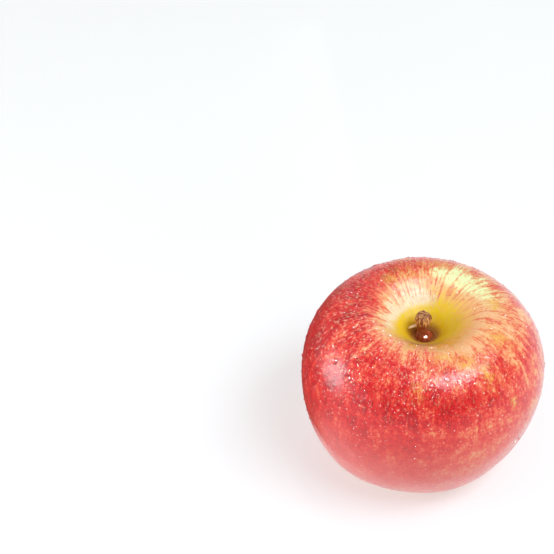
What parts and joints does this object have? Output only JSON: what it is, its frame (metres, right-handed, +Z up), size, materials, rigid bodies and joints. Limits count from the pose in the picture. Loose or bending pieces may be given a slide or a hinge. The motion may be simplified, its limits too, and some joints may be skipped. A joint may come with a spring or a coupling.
{
  "type": "apple",
  "caption": "Fresh eating apple: a round fruit with a deep stem cavity, a short knobbed stem and a dried flower in its base. It rests upright on the lobes of its base.",
  "frame": {"origin": "On the table plane, under the middle of the apple's plan.", "axes": "+Z up, from the dried flower to the stem. The apple stands upright. -Y is the side with the stem's bract on its left."},
  "size_m": [0.076, 0.074, 0.0619],
  "materials": {
    "skin": "waxy red apple skin, streaked with yellow and dotted with pale pores; gloss_plastic stands in for it",
    "stem_bark": "brown woody stem, rough at its broken end",
    "dry_bract": "pale dry stub of a small leaf",
    "dry_sepal": "dry, downy grey-brown sepal; wood stands in for it",
    "dry_stamen": "dry brown tuft of stamens; wood stands in for it"
  },
  "bodies": {
    "root": {"fruit": "skin", "stem": "stem_bark", "bract": "dry_bract", "sepal_1": "dry_sepal", "sepal_2": "dry_sepal", "sepal_3": "dry_sepal", "sepal_4": "dry_sepal", "sepal_5": "dry_sepal", "stamens": "dry_stamen"}
  },
  "joints": []
}
